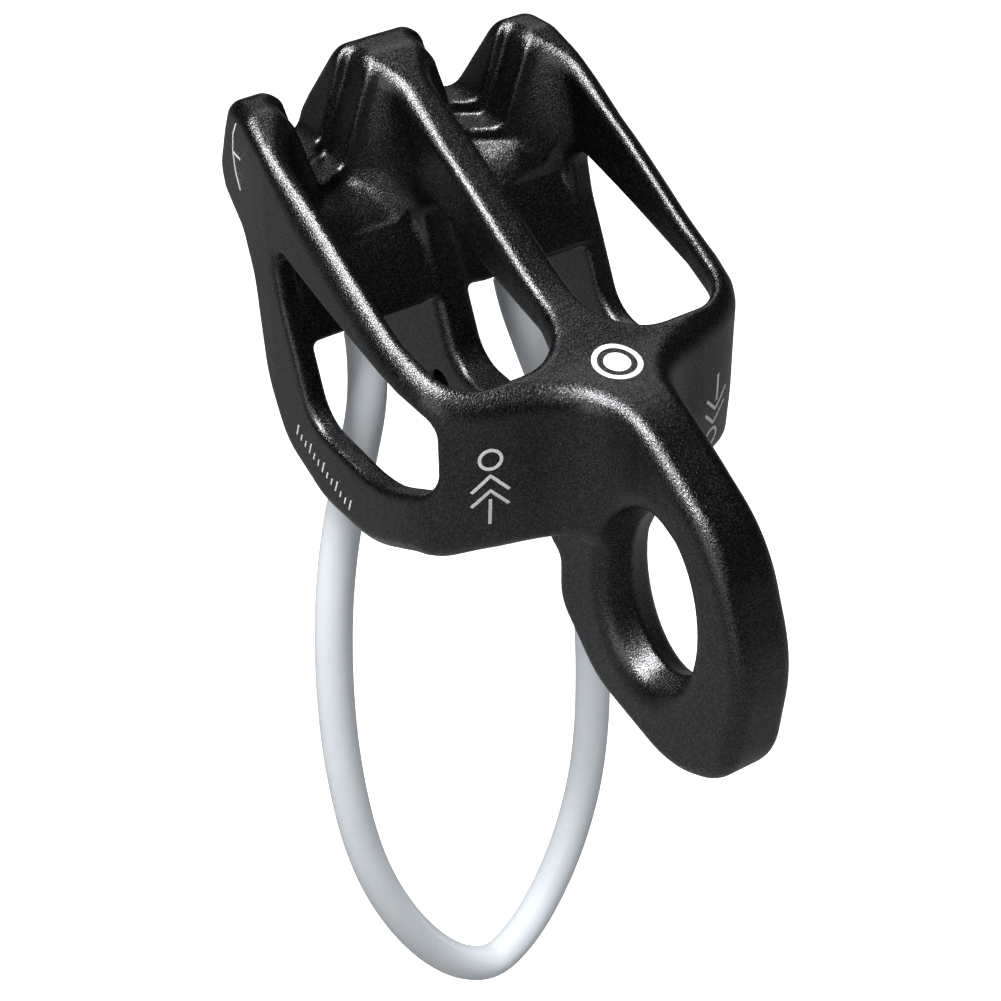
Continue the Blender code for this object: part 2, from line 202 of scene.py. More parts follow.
@dataclass(frozen=True)
class SheathPlastic:
    """Extruded polyamide sheath, milky and bluish white.

    It is glossy from the die, lets a little light in, and keeps faint draw lines along its length.
    """

    tone: str = "#e2e9f3"
    shade: str = "#d3dce8"
    roughness: float = 0.2
    polyamide_ior: float = 1.53
    draw_line_mm: float = 0.5
    cloud_mm: float = 7.0
    depth_mm: float = 2.4

    def material(self) -> bpy.types.Material:
        """Builds the finish.

        Returns:
            The material.
        """
        material, tree, shader, place = new_material("milky_polyamide_sheath")
        shader.inputs["IOR"].default_value = self.polyamide_ior
        shader.inputs["Subsurface Weight"].default_value = 0.9
        shader.inputs["Subsurface Radius"].default_value = (1.0, 1.05, 1.15)
        shader.inputs["Subsurface Scale"].default_value = self.depth_mm * MM
        clouds = add_node(tree, "TexNoise", {"Scale": per_metre(self.cloud_mm), "Detail": 4.0},
                          {"Vector": (place, "Object")})
        tone = add_node(tree, "Mix", {6: linear(self.tone), 7: linear(self.shade)},
                        {0: (clouds, "Fac")}, data_type="RGBA")
        tree.links.new(tone.outputs[2], shader.inputs["Base Color"])
        scuffs = add_node(tree, "TexNoise", {"Scale": per_metre(self.draw_line_mm), "Detail": 3.0,
                                             "Distortion": 0.4}, {"Vector": (place, "Object")})
        gloss = add_node(tree, "MapRange", {"From Min": 0.3, "From Max": 0.8,
                                            "To Min": self.roughness - 0.05,
                                            "To Max": self.roughness + 0.12}, {"Value": (scuffs, "Fac")})
        tree.links.new(gloss.outputs[0], shader.inputs["Roughness"])
        bump = add_node(tree, "Bump", {"Strength": 0.12, "Distance": 0.02 * MM},
                        {"Height": (scuffs, "Fac")})
        tree.links.new(bump.outputs[0], shader.inputs["Normal"])
        return material


@dataclass(frozen=True)
class DrawnSteel:
    """Drawn stainless steel wire and pressed swages: bright, with fine scratches along the draw."""

    tone: str = "#a9aaac"
    shade: str = "#8c8d90"
    roughness: float = 0.28
    scratch_mm: float = 0.12

    def material(self) -> bpy.types.Material:
        """Builds the finish.

        Returns:
            The material.
        """
        material, tree, shader, place = new_material("drawn_stainless_steel")
        shader.inputs["Metallic"].default_value = 1.0
        grain = add_node(tree, "TexNoise", {"Scale": per_metre(self.scratch_mm), "Detail": 2.0},
                         {"Vector": (place, "Object")})
        tone = add_node(tree, "Mix", {6: linear(self.tone), 7: linear(self.shade)}, {0: (grain, "Fac")},
                        data_type="RGBA")
        tree.links.new(tone.outputs[2], shader.inputs["Base Color"])
        gloss = add_node(tree, "MapRange", {"From Min": 0.3, "From Max": 0.7,
                                            "To Min": self.roughness - 0.06,
                                            "To Max": self.roughness + 0.1}, {"Value": (grain, "Fac")})
        tree.links.new(gloss.outputs[0], shader.inputs["Roughness"])
        bump = add_node(tree, "Bump", {"Strength": 0.2, "Distance": 0.01 * MM}, {"Height": (grain, "Fac")})
        tree.links.new(bump.outputs[0], shader.inputs["Normal"])
        return material


@dataclass(frozen=True)
class LaserMark:
    """A laser mark in the black oxide: the bleached dye shows as matt off-white."""

    tone: str = "#ececea"
    shade: str = "#d2d2d0"
    roughness: float = 0.62
    speckle_mm: float = 0.25

    def material(self) -> bpy.types.Material:
        """Builds the finish.

        Returns:
            The material.
        """
        material, tree, shader, place = new_material("laser_bleached_oxide")
        shader.inputs["Roughness"].default_value = self.roughness
        speckle = add_node(tree, "TexNoise", {"Scale": per_metre(self.speckle_mm), "Detail": 2.0},
                           {"Vector": (place, "Object")})
        tone = add_node(tree, "Mix", {6: linear(self.tone), 7: linear(self.shade)},
                        {0: (speckle, "Fac")}, data_type="RGBA")
        tree.links.new(tone.outputs[2], shader.inputs["Base Color"])
        bump = add_node(tree, "Bump", {"Strength": 0.3, "Distance": 0.02 * MM},
                        {"Height": (speckle, "Fac")})
        tree.links.new(bump.outputs[0], shader.inputs["Normal"])
        return material


def to_frame(points: Iterable) -> np.ndarray:
    """Drawing millimetres as metres in the model's frame.

    Args:
        points: rows of x, y and z.

    Returns:
        The same rows in metres, measured from the eye's centre.
    """
    return (np.asarray(points, float).reshape(-1, 3) - (0.0, EYE_Y, EYE_Z)) * MM


def add_piece(name: str, points: Iterable, faces: Iterable, material: bpy.types.Material, part: Part,
              smooth: bool = True) -> bpy.types.Object:
    """Makes a visible piece and lets it ride on its body.

    Args:
        name: the piece's name.
        points: its vertices in drawing millimetres.
        faces: its faces as vertex numbers.
        material: its finish.
        part: the body that it moves with.
        smooth: whether it is shaded smooth.

    Returns:
        The new object.
    """
    mesh = bpy.data.meshes.new(name)
    mesh.from_pydata(to_frame(points).tolist(), [], [tuple(f) for f in faces])
    mesh.materials.append(material)
    mesh.polygons.foreach_set("use_smooth", [smooth] * len(mesh.polygons))
    mesh.update()
    piece = bpy.data.objects.new(name, mesh)
    bpy.context.scene.collection.objects.link(piece)
    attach(piece, part.value)
    log.info("%s: %d faces", name, len(mesh.polygons))
    return piece


def corner_arcs(corners: Outline) -> np.ndarray:
    """Draws a closed outline whose corners are rounded.

    Args:
        corners: each corner as its two coordinates and its radius.

    Returns:
        The outline's points.
    """
    places = [Vector(c[:2]) for c in corners]
    outline = []
    for i, (_, _, radius) in enumerate(corners):
        here = places[i]
        back, ahead = places[i - 1] - here, places[(i + 1) % len(corners)] - here
        turn = back.angle(ahead)
        if radius <= 0 or turn > math.radians(176):
            outline.append(here)
            continue
        reach = min(radius / math.tan(turn / 2), 0.49 * back.length, 0.49 * ahead.length)
        start, end = here + back.normalized() * reach, here + ahead.normalized() * reach
        bisector = (back.normalized() + ahead.normalized()).normalized()
        centre = here + bisector * (reach / math.cos(turn / 2))
        first, last = start - centre, end - centre
        side = 1 if first.x * last.y - first.y * last.x > 0 else -1
        steps = max(4, int(math.degrees(math.pi - turn) / 4))
        for k in range(steps + 1):
            t = side * first.angle(last) * k / steps
            c, s = math.cos(t), math.sin(t)
            outline.append(centre + Vector((c * first.x - s * first.y, s * first.x + c * first.y)))
    return np.array([tuple(p) for p in outline])


def outline_distance(outline: np.ndarray, us: np.ndarray, vs: np.ndarray) -> np.ndarray:
    """Measures the distance to a closed outline.

    Args:
        outline: its points.
        us: the grid's first coordinates.
        vs: the grid's second coordinates.

    Returns:
        The distance at each grid point, negative inside.
    """
    gu, gv = np.meshgrid(us, vs, indexing="ij")
    best = np.full(gu.shape, 1e9)
    inside = np.zeros(gu.shape, bool)
    for (u0, v0), (u1, v1) in zip(outline, np.roll(outline, -1, 0)):
        du, dv = u1 - u0, v1 - v0
        length2 = du * du + dv * dv
        if length2 < 1e-12:
            continue
        t = np.clip(((gu - u0) * du + (gv - v0) * dv) / length2, 0, 1)
        best = np.minimum(best, (gu - u0 - t * du) ** 2 + (gv - v0 - t * dv) ** 2)
        if v0 != v1:
            crossing = (v0 > gv) != (v1 > gv)
            inside ^= crossing & (gu < u0 + (gv - v0) / (v1 - v0) * du)
    return np.where(inside, -1, 1) * np.sqrt(best)


def round_common(a: np.ndarray, b: np.ndarray, radius: float | np.ndarray) -> np.ndarray:
    """What two solids share, with the edge between them rounded.

    Args:
        a: one solid's signed distance.
        b: the other's.
        radius: the edge's radius.

    Returns:
        The signed distance to what they share.
    """
    both = np.sqrt(np.maximum(a + radius, 0) ** 2 + np.maximum(b + radius, 0) ** 2)
    return np.minimum(-radius, np.maximum(a, b)) + both


def round_join(a: np.ndarray, b: np.ndarray, radius: float | np.ndarray) -> np.ndarray:
    """Two solids joined, with a fillet in the corner between them.

    Args:
        a: one solid's signed distance.
        b: the other's.
        radius: the fillet's radius.

    Returns:
        The signed distance to both together.
    """
    both = np.sqrt(np.maximum(radius - a, 0) ** 2 + np.maximum(radius - b, 0) ** 2)
    return np.maximum(radius, np.minimum(a, b)) - both


def smooth_through(at: np.ndarray, places: np.ndarray, values: np.ndarray) -> np.ndarray:
    """Reads a smooth curve that runs through given values.

    Args:
        at: where it is read.
        places: the rising places of the values.
        values: the values.

    Returns:
        The curve's value at each point.
    """
    slopes = np.gradient(values, places)
    k = np.clip(np.searchsorted(places, at) - 1, 0, len(places) - 2)
    run = places[k + 1] - places[k]
    t = np.clip((at - places[k]) / run, 0, 1)
    start = values[k] * (1 + 2 * t) + slopes[k] * run * t
    end = values[k + 1] * (3 - 2 * t) - slopes[k + 1] * run * (1 - t)
    return start * (1 - t) ** 2 + end * t ** 2


def ramp(value: np.ndarray, start: float, end: float) -> np.ndarray:
    """A share that rises from 0 at start to 1 at end."""
    return np.clip((value - start) / (end - start), 0, 1)


@dataclass
class FieldMesh:
    """A grid that turns a solid's signed distance into a quad mesh."""

    xs: np.ndarray
    ys: np.ndarray
    zs: np.ndarray
    distance: np.ndarray

    def surface(self) -> tuple[np.ndarray, np.ndarray]:
        """Finds the surface where the distance is zero, one point in each cell that it crosses.

        Returns:
            The points and the outward quads.
        """
        solid = self.distance < 0
        shape = tuple(n - 1 for n in solid.shape)
        count = np.zeros(shape, np.uint8)
        for i, j, k in np.ndindex(2, 2, 2):
            count += solid[i:i + shape[0], j:j + shape[1], k:k + shape[2]]
        cells = np.argwhere((count > 0) & (count < 8))
        index = np.full(shape, -1, np.int32)
        index[tuple(cells.T)] = np.arange(len(cells))
        points = self._settled(self._crossing_means(cells))
        quads = [self._quads_across(solid, index, axis) for axis in range(3)]
        return points, np.concatenate(quads)

    def _crossing_means(self, cells: np.ndarray) -> np.ndarray:
        """Finds the mean of the points where the surface crosses each cell's edges.

        Args:
            cells: the cells, as their three numbers.

        Returns:
            One point for each cell.
        """
        total, crossings = np.zeros((len(cells), 3)), np.zeros(len(cells))
        axes = (self.xs, self.ys, self.zs)
        for axis in range(3):
            for a, b in np.ndindex(2, 2):
                start = cells.copy()
                start[:, (axis + 1) % 3] += a
                start[:, (axis + 2) % 3] += b
                end = start.copy()
                end[:, axis] += 1
                f0, f1 = self.distance[tuple(start.T)], self.distance[tuple(end.T)]
                hit = (f0 < 0) != (f1 < 0)
                share = np.where(hit, f0 / np.where(hit, f0 - f1, 1), 0)
                point = np.stack([axes[d][start[:, d]] for d in range(3)], 1)
                point[:, axis] += share * (axes[axis][end[:, axis]] - axes[axis][start[:, axis]])
                total += point * hit[:, None]
                crossings += hit
        return total / crossings[:, None]

    @staticmethod
    def _quads_across(solid: np.ndarray, index: np.ndarray, axis: int) -> np.ndarray:
        """Makes the quads round the grid edges that run along one axis and cross the surface.

        Args:
            solid: which grid points are inside.
            index: the point number of each cell.
            axis: the axis that the edges run along.

        Returns:
            The quads, facing out.
        """
        u, v = (axis + 1) % 3, (axis + 2) % 3
        low, high = [slice(None)] * 3, [slice(None)] * 3
        low[axis], high[axis] = slice(None, -1), slice(1, None)
        edges = np.argwhere(solid[tuple(low)] != solid[tuple(high)])
        step_u, step_v = np.eye(3, dtype=int)[u], np.eye(3, dtype=int)[v]
        ring = [edges - step_u - step_v, edges - step_v, edges, edges - step_u]
        quad = np.stack([index[tuple(r.T)] for r in ring], 1)
        leaving = solid[tuple(low)][tuple(edges.T)]
        return np.where(leaving[:, None], quad, quad[:, ::-1])

    def _sample(self, points: np.ndarray) -> np.ndarray:
        """Reads the distance between grid points, from the eight grid points around.

        Args:
            points: where it is read.

        Returns:
            The distance at each point.
        """
        cell = [axis[1] - axis[0] for axis in (self.xs, self.ys, self.zs)]
        place = (points - (self.xs[0], self.ys[0], self.zs[0])) / cell
        place = np.clip(place, 0, np.array(self.distance.shape) - 1.001)
        low = place.astype(int)
        part = place - low
        value = np.zeros(len(points))
        for corner in np.ndindex(2, 2, 2):
            weight = np.prod(np.where(corner, part, 1 - part), 1)
            value += weight * self.distance[tuple((low + corner).T)]
        return value

    def _settled(self, points: np.ndarray) -> np.ndarray:
        """Moves points onto the zero surface, so that it shades without steps.

        Args:
            points: points near the surface.

        Returns:
            The moved points.
        """
        step = 0.5 * (self.xs[1] - self.xs[0])
        for _ in range(2):
            slope = np.stack([(self._sample(points + d) - self._sample(points - d)) / (2 * step)
                              for d in np.eye(3) * step], 1)
            move = self._sample(points) / np.maximum((slope ** 2).sum(1), 0.2)
            points = points - slope * np.clip(move, -step, step)[:, None]
        return points


@dataclass
class ForgedBody:
    """The forged body: three plates with windows, a toothed V at each slot's nose, and the anchor eye."""

    finish: BlastedAnodising = field(default_factory=BlastedAnodising)
    skin: BVHTree | None = None
    cell: float = 0.25
    half_width: float = 20.0
    side_plate: float = 2.7
    middle_plate: float = 4.4
    eye_plate: float = 7.0
    eye_taper: tuple[float, float] = (-14.5, -10.0)
    # The outer rim, which thins between two places along the body on its way to the nose and to the eye
    rim: float = 2.4
    nose_rim: float = 1.1
    nose_thin: tuple[float, float] = (6.0, 14.0)
    eye_edge: float = 1.7
    eye_thin: tuple[float, float] = (-27.0, -20.0)
    slot_rim: float = 1.1
    # Rims are softer by this much on the ears, which start between two heights
    ear_rim: float = 0.5
    ear_slot_rim: float = 0.8
    ears: tuple[float, float] = (41.0, 45.0)
    slot_ears: tuple[float, float] = (40.0, 45.0)
    window_rim: float = 0.8
    # The middle plate's window is rounder at its front, between two places along the body
    window_front_rim: float = 0.8
    window_front: tuple[float, float] = (2.0, 7.0)
    window_inside: tuple[float, float] = (2.0, 4.0)
    eye_rim: float = 1.3
    eye_draft: float = 0.36
    eye_flare: float = 1.6
    # The corner under the rear wall: its fillet fades out upwards and towards the slots
    fillet: float = 1.4
    fillet_top: tuple[float, float] = (13.0, 18.0)
    fillet_front: tuple[float, float] = (-16.0, -13.0)
    # Rope slots and the wall that closes them at the rear
    slot_rear: float = -16.2
    slot_corner: float = 6.5
    # The rear wall runs on inside the eye's plate, so that the two share one rim
    shell_rear: float = -34.0
    rear_wall_bottom: float = 9.9
    # Profile corners (y, z, radius)
    eye_shoulder: tuple[float, float, float] = (-27.0, 27.4, 16.0)
    top_line: Outline = ((17.4, 44.9, 3), (13.0, 42.9, 12), (2.4, 37.6, 30), (-8.0, 31.9, 30),
                         (-18.0, 28.6, 16))
    nose_line: Outline = ((21.8, 45.1, 2.5), (25.2, 36.2, 3.2), (24.2, 33.5, 1.5), (19.8, 30.8, 3),
                          (17.5, 26.5, 9), (15.7, 16.0, 9), (11.8, 9.0, 7), (4.6, 5.4, 9))
    # The middle plate is fuller low down at the front than the side plates
    middle_nose: Outline = ((21.8, 45.1, 2.5), (25.2, 36.2, 3.2), (24.2, 33.5, 1.5), (21.6, 30.8, 3),
                            (21.6, 24.0, 6), (21.8, 11.6, 4.5), (13.5, 6.6, 8), (4.6, 5.4, 9))
    # Friction V: three frames between two steps, each wider and lower than the one in front of it
    v_centre: float = 9.4
    v_floor_half: float = 1.6
    v_lean_deg: tuple[float, float, float] = (16.5, 19.0, 21.0)
    v_step: float = 0.85
    v_sink: float = 1.5
    v_front: float = 36.6
    v_steps: tuple[float, float] = (19.6, 15.7)
    v_opening: float = 1.4
    v_dive: float = 0.36
    v_bend: float = 3.0
    v_edge: float = 0.8
    v_ridge: float = 0.55
    # The middle plate's nose stands out past the side plates' noses
    nose_ahead: float = 2.3
    nose_rise: float = 1.4
    nose_between: tuple[float, float] = (7.5, 12.5)
    nose_from: tuple[float, float] = (0.0, 16.0)
    nose_above: tuple[float, float] = (27.0, 35.0)
    # Front wall, from its lower rear edge (y, z) to its upper one
    wall_bottom: tuple[float, float] = (7.4, 22.0)
    wall_top: tuple[float, float] = (12.9, 29.8)
    wall_edge: float = 0.25
    # The wall's fillet into the plates, which widens into a saddle between two heights
    wall_fillet: float = 0.6
    saddle_fillet: float = 2.0
    saddle: tuple[float, float] = (31.0, 35.0)
    # Eye hole and release hole
    eye_hole: tuple[float, float] = (13.0, 19.0)
    release_hole: float = 3.6
    release_at: tuple[float, float] = (8.4, 11.2)
    release_rim: float = 0.4
    release_reach: float = 6.0
    # Keeper sockets
    socket: tuple[float, float, float] = (9.4, 13.0, 24.2)
    socket_radius: float = 2.35
    mouth_radius: float = 1.2
    mouth_flare_deg: float = 25.0
    mouth_lean_deg: float = 16.0
    mouth_depth: float = 6.0
    mouth_edge: float = 0.4
    # The grid that the body is measured on
    grid_y: tuple[float, float] = (-47.0, 30.0)
    grid_z: tuple[float, float] = (-13.5, 51.0)
    grid_margin: float = 1.5

    def side_x(self, y: np.ndarray) -> np.ndarray:
        """The half width at y: widest amidships, drawn in at the nose and wrapped in at the rear.

        Args:
            y: places along the body.

        Returns:
            The half width at each.
        """
        ys = (-29.0, -25.8, -23.3, -21.5, -20.2, -19.2, -18.1, -16.6, -14.5, -11.0, -6.0,
              9.0, 13.0, 19.0, 27.0)
        wide = (3.5, 3.8, 4.6, 6.2, 8.6, 11.8, 14.8, 17.4, 19.0, 19.8, 20.0,
                20.0, 19.8, 19.1, 18.0)
        return smooth_through(y, np.array(ys), np.array(wide) * self.half_width / 20.0)

    def plan(self) -> np.ndarray:
        """The outline from above: nose, sides, and the rear that narrows into the eye's plate."""
        ys = np.concatenate([np.arange(34.0, -14.0, -3.0), np.arange(-14.0, -29.0, -0.3), [-29.0, -60.0]])
        right = [(float(self.side_x(y)), y) for y in ys]
        return np.array(right + [(-x, y) for x, y in reversed(right)])

    def slot_plan(self) -> np.ndarray:
        """One rope slot from above, running out past the nose."""
        inner = self.middle_plate / 2
        ys = np.arange(self.slot_rear + self.slot_corner + 1.0, 40.0, 2.5)
        outer = [(float(self.side_x(y)) - self.side_plate, y, 0) for y in ys]
        rear_x = float(self.side_x(self.slot_rear + 1.5)) - self.side_plate
        rear = [(inner, self.slot_rear, self.slot_corner), (rear_x, self.slot_rear, self.slot_corner)]
        return corner_arcs([(inner, 40.0, 0)] + rear + outer)

    def side_profile(self) -> np.ndarray:
        """The side plates and rear wall from the side; the plan trims their rear end."""
        belly = [(-5.0, 5.2, 12), (-12.0, 8.4, 14), (-18.0, self.rear_wall_bottom, 10),
                 (self.shell_rear, self.rear_wall_bottom, 1)]
        rear_top = [(self.shell_rear, 23.3, 0), self.eye_shoulder]
        return corner_arcs([*self.nose_line, *belly, *rear_top, *self.top_line[::-1]])

    def middle_profile(self) -> np.ndarray:
        """The middle plate and the anchor eye's ring from the side."""
        belly = [(-8.0, 4.9, 8), (-14.9, 3.9, 1.2), (-15.1, -2.0, 5), (-22.0, -8.6, 10), (-35.0, -11.7, 11)]
        ring = [(-44.0, -7.4, 9), (-45.6, 7.0, 18), (-40.6, 19.4, 15), self.eye_shoulder]
        return corner_arcs([*self.middle_nose, *belly, *ring, *self.top_line[::-1]])

    def window(self) -> np.ndarray:
        """The rounded triangle cut through all three plates."""
        return corner_arcs([(12.3, 33.6, 3.6), (-15.3, 26.3, 2.6), (-15.4, 17.6, 4), (-7.0, 13.9, 14),
                            (5.3, 15.0, 4.5), (10.6, 27.0, 12)])

    def wall(self) -> np.ndarray:
        """The front wall from the side, running up and forward past the nose that trims it."""
        (rear, bottom), (top_y, top_z) = self.wall_bottom, self.wall_top
        return corner_arcs([(rear, bottom, 0.8), (top_y, top_z, 0.5), (top_y - 3, 60.0, 0),
                            (40.0, 60.0, 0), (40.0, bottom, 0)])

    def nose_share(self, ax: np.ndarray, y: np.ndarray, z: np.ndarray) -> np.ndarray:
        """How far the nose is drawn ahead at a point, from 1 at the middle plate to 0 at the sides.

        Args:
            ax: distance from the plane of symmetry.
            y: place along the body.
            z: height.

        Returns:
            The share at each point.
        """
        inner, outer = self.nose_between
        across = 1 - ramp(ax, inner, outer)
        return across * across * (3 - 2 * across) * ramp(y, *self.nose_from) * ramp(z, *self.nose_above)

    def seen_from_side(self, outline: np.ndarray, x: np.ndarray, y: np.ndarray,
                       z: np.ndarray) -> np.ndarray:
        """Measures the distance to a profile whose nose is drawn ahead between the slots.

        Args:
            outline: the profile.
            x: the grid's x as a column of planes.
            y: the grid's y as rows.
            z: the grid's z.

        Returns:
            The signed distance at each grid point.
        """
        step = self.cell / 2
        flat_ys = np.arange(y.min() - 4, y.max() + 4, step)
        flat_zs = np.arange(z.min() - 4, z.max() + 4, step)
        flat = outline_distance(outline, flat_ys, flat_zs)
        share = self.nose_share(np.abs(x), y, z)
        row = (y - self.nose_ahead * share - flat_ys[0]) / step
        column = (z - self.nose_rise * share - flat_zs[0]) / step
        i, j = row.astype(int), column.astype(int)
        u, v = row - i, column - j
        return ((flat[i, j] * (1 - u) + flat[i + 1, j] * u) * (1 - v)
                + (flat[i, j + 1] * (1 - u) + flat[i + 1, j + 1] * u) * v)

    def friction_v(self, ax: np.ndarray, y: np.ndarray, z: np.ndarray) -> np.ndarray:
        """Measures the distance to the space that the toothed V leaves open.

        Args:
            ax: distance from the plane of symmetry.
            y: place along the body.
            z: height.

        Returns:
            The signed distance, negative in the open V.
        """
        across = np.abs(ax - self.v_centre)
        cut = None
        for k, step_y in enumerate((99.0, *self.v_steps)):
            past = np.maximum(step_y - y, 0) if k == 2 else 0
            dive = self.v_dive * np.minimum(past, self.v_bend) ** 2 + np.maximum(past - self.v_bend, 0)
            floor = self.v_front - self.v_sink * k - dive
            half = self.v_floor_half + self.v_step * k + self.v_opening * past
            lean = math.radians(self.v_lean_deg[k])
            wall = (across - half) * math.cos(lean) - (z - self.v_front) * math.sin(lean)
            one = round_common(round_common(wall, floor - z, self.v_edge), y - step_y, self.v_ridge)
            cut = one if cut is None else round_join(cut, one, self.v_ridge)
        return cut

    def sockets(self, ax: np.ndarray, y: np.ndarray, z: np.ndarray) -> np.ndarray:
        """Measures the distance to a keeper socket's round seat and flared mouth.

        Args:
            ax: distance from the plane of symmetry.
            y: place along the body.
            z: height.

        Returns:
            The signed distance, negative in the socket.
        """
        at_x, at_y, at_z = self.socket
        below = at_z - z
        seat = np.sqrt((ax - at_x) ** 2 + (y - at_y) ** 2 + below ** 2) - self.socket_radius
        lean = below * math.tan(math.radians(self.mouth_lean_deg))
        flare = self.mouth_radius + np.maximum(below, 0) * math.tan(math.radians(self.mouth_flare_deg))
        cone = np.hypot(ax - at_x, y - at_y + lean) - flare
        mouth = np.maximum(cone, np.maximum(-below, below - self.mouth_depth))
        return round_join(seat, mouth, self.mouth_edge)

    def distance(self, xs: np.ndarray, ys: np.ndarray, zs: np.ndarray) -> np.ndarray:
        """Measures the distance to the body's surface on a grid.

        Args:
            xs: the grid's x, all on one side of the plane of symmetry.
            ys: the grid's y.
            zs: the grid's z.

        Returns:
            The signed distance, near enough, and negative in metal.
        """
        x, y, z = xs[:, None, None], ys[None, :, None], zs[None, None, :]
        plan = outline_distance(self.plan(), xs, ys)[:, :, None]
        slot = outline_distance(self.slot_plan(), xs, ys)[:, :, None]
        rim = (self.rim - (self.rim - self.nose_rim) * ramp(y, *self.nose_thin)
               + self.ear_rim * ramp(z, *self.ears)
               - (self.rim - self.eye_edge) * (1 - ramp(y, *self.eye_thin)))
        shell = round_common(self.seen_from_side(self.side_profile(), x, y, z), plan, rim)
        open_v = self.friction_v(x, y - self.nose_ahead * self.nose_share(x, y, z), z)
        block = round_common(outline_distance(self.wall(), ys, zs)[None], -open_v, self.wall_edge)
        blend = self.wall_fillet + self.saddle_fillet * ramp(z, *self.saddle)
        edge = self.slot_rim + self.ear_slot_rim * ramp(z, *self.slot_ears)
        shell = round_common(shell, round_join(-slot, block, blend), edge)
        half = np.interp(y, self.eye_taper, (self.eye_plate / 2, self.middle_plate / 2))
        middle = self.seen_from_side(self.middle_profile(), x, y, z)
        plate = round_common(middle, np.maximum(x - half, plan), self.eye_edge)
        # The corner under the rear wall is filleted, and the faces that the two share hardly are.
        fillet = self.fillet * (1 - ramp(z, *self.fillet_top)) * (1 - ramp(y, *self.fillet_front))
        solid = round_join(shell, plate, SHARP + fillet)
        # The window's front edge in the middle plate is nearly a full round.
        inside = 1 - ramp(x, *self.window_inside)
        soft = self.window_rim + self.window_front_rim * ramp(y, *self.window_front) * inside
        solid = round_common(solid, -outline_distance(self.window(), ys, zs)[None], soft)
        across, high = self.eye_hole
        oval = (np.hypot((y - EYE_Y) / across * 2, (z - EYE_Z) / high * 2) - 1) * across / 2
        # Where the flare thickens the plate, the hole's lip opens wider.
        lip = self.eye_rim + self.eye_flare * ramp(x, self.eye_plate / 2, self.eye_plate / 2 + 3)
        solid = round_common(solid, self.eye_draft * x - oval, lip)
        release = np.hypot(y - self.release_at[0], z - self.release_at[1]) - self.release_hole / 2
        solid = round_common(solid, -np.maximum(release, x - self.release_reach), self.release_rim)
        return np.maximum(solid, -self.sockets(x, y, z))

    def build(self) -> bpy.types.Object:
        """Builds and dresses the body.

        Returns:
            The body piece, which stands for the CAD body.
        """
        cell = self.cell
        right = np.arange(math.ceil((self.half_width + self.grid_margin) / cell)) * cell + cell / 2
        ys, zs = np.arange(*self.grid_y, cell), np.arange(*self.grid_z, cell)
        half = self.distance(right, ys, zs)
        whole = FieldMesh(np.concatenate([-right[::-1], right]), ys, zs, np.concatenate([half[::-1], half]))
        points, quads = whole.surface()
        self.skin = BVHTree.FromPolygons(points.tolist(), quads.tolist())
        body = add_piece("forged_body", points, quads.tolist(), self.finish.material(), Part.BODY)
        relax = body.modifiers.new("relax", "SMOOTH")
        relax.factor, relax.iterations = 0.4, 3
        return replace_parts(body, "body")


def circle(centre: tuple[float, float], radius: float) -> list[tuple[float, float]]:
    """A closed ring of points round a centre."""
    turns = np.linspace(0, 2 * math.pi, 33)
    return [(centre[0] + radius * math.cos(t), centre[1] + radius * math.sin(t)) for t in turns]


@dataclass
class Sign:
    """One lasered sign: strokes drawn on a flat frame that lies against the body."""

    name: str
    origin: tuple[float, float, float]
    right: tuple[float, float, float]
    up: tuple[float, float, float]
    strokes: Sequence[Line]
    width: float = 0.34
    sunk: float = 0.1
    # How far off the body its frame may lie
    reach: float = 4.0

    def build(self, skin: BVHTree, finish: bpy.types.Material, proud: float) -> bpy.types.Object:
        """Lays the strokes on the body.

        Args:
            skin: the body's surface.
            finish: the mark's finish.
            proud: how far the mark stands off the surface, in millimetres.

        Returns:
            The sign.
        """
        points, faces = [], []
        for stroke in self.strokes:
            start = len(points)
            line = self._dense(np.array(stroke, float))
            ahead = np.gradient(line, axis=0)
            ahead /= np.linalg.norm(ahead, axis=1)[:, None]
            across = np.stack([-ahead[:, 1], ahead[:, 0]], 1) * self.width / 2
            for here, side in zip(line, across):
                for flat in (here - side, here + side):
                    spot, normal = self._on_skin(skin, flat)
                    points += [spot + normal * proud, spot - normal * self.sunk]
            rows = len(line)
            for k in range(rows - 1):
                a, b = start + 4 * k, start + 4 * (k + 1)
                faces += [(a, a + 2, b + 2, b), (a + 1, b + 1, b + 3, a + 3),
                          (a, b, b + 1, a + 1), (a + 2, a + 3, b + 3, b + 2)]
            last = start + 4 * (rows - 1)
            faces += [(start, start + 1, start + 3, start + 2), (last, last + 2, last + 3, last + 1)]
        return add_piece(self.name, points, faces, finish, Part.BODY, smooth=False)

    @staticmethod
    def _dense(line: np.ndarray) -> np.ndarray:
        """Adds points to a stroke until they lie close.

        Args:
            line: the stroke's own points.

        Returns:
            The same stroke with close points.
        """
        dense = [line[0]]
        for a, b in zip(line, line[1:]):
            steps = max(1, math.ceil(np.linalg.norm(b - a) / CLOSE))
            dense += [a + (b - a) * k / steps for k in range(1, steps + 1)]
        return np.array(dense)

    def _on_skin(self, skin: BVHTree, flat: np.ndarray) -> tuple[np.ndarray, np.ndarray]:
        """Finds where a point of the flat frame lands on the body.

        Args:
            skin: the body's surface.
            flat: the point in the frame.

        Returns:
            The point on the body and the normal there.
        """
        right, up = Vector(self.right).normalized(), Vector(self.up).normalized()
        out = right.cross(up)
        start = Vector(self.origin) + right * flat[0] + up * flat[1]
        spot, normal, _, _ = skin.ray_cast(start + out * self.reach, -out, 2 * self.reach)
        if spot is None:
            return np.array(start), np.array(out)
        return np.array(spot), np.array(normal)


